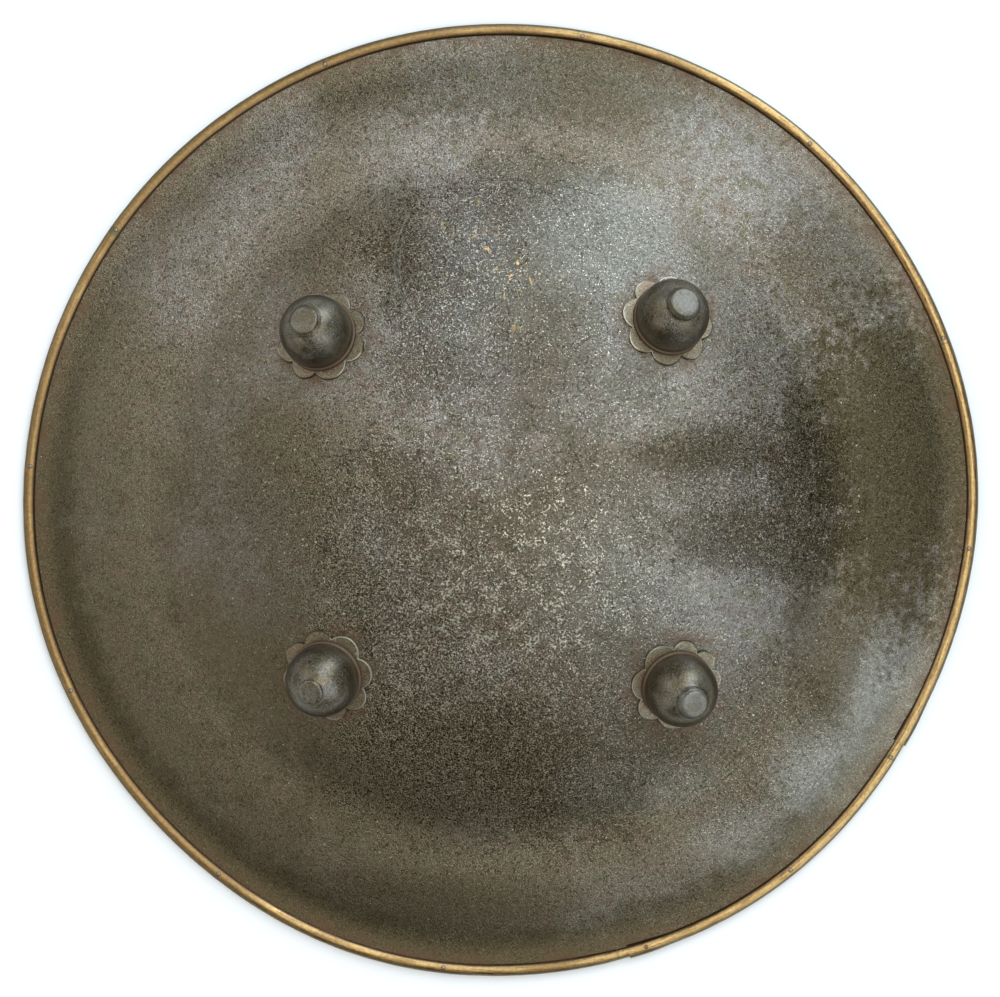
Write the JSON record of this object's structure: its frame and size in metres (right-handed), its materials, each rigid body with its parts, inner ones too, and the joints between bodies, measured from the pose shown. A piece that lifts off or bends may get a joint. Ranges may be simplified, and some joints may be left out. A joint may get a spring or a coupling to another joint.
{
  "type": "round steel hand shield",
  "caption": "Round dished steel hand shield with a domed middle, flared brim, folded brass edge and bosses on scalloped washers.",
  "frame": {"origin": "middle of the bounding box, on the floor that the rim lies on", "axes": "+Z out of the front of the shield, +Y towards its top as it is carried, +X to the right seen from the front"},
  "size_m": [0.453, 0.4516, 0.0614],
  "materials": {
    "plate_steel": "dark russet patina, worn etching",
    "washer_steel": "dark patina with rust at the edges",
    "boss_steel": "dark polished",
    "rivet_steel": "worn bright",
    "rim_brass": "aged, rubbed bright on the crown"
  },
  "bodies": {
    "root": {"shield_plate": "plate_steel", "rim_band_long": "rim_brass", "rim_band_short": "rim_brass", "rim_rivet_01": "rivet_steel", "rim_rivet_02": "rivet_steel", "rim_rivet_03": "rivet_steel", "rim_rivet_04": "rivet_steel", "rim_rivet_05": "rivet_steel", "rim_rivet_06": "rivet_steel", "rim_rivet_07": "rivet_steel", "rim_rivet_08": "rivet_steel", "rim_rivet_09": "rivet_steel", "rim_rivet_10": "rivet_steel", "rim_rivet_11": "rivet_steel", "rim_rivet_12": "rivet_steel", "rim_rivet_13": "rivet_steel", "washer_upper_left": "washer_steel", "washer_upper_right": "washer_steel", "washer_lower_left": "washer_steel", "washer_lower_right": "washer_steel", "boss_upper_left": "boss_steel", "boss_upper_right": "boss_steel", "boss_lower_left": "boss_steel", "boss_lower_right": "boss_steel"}
  },
  "joints": []
}
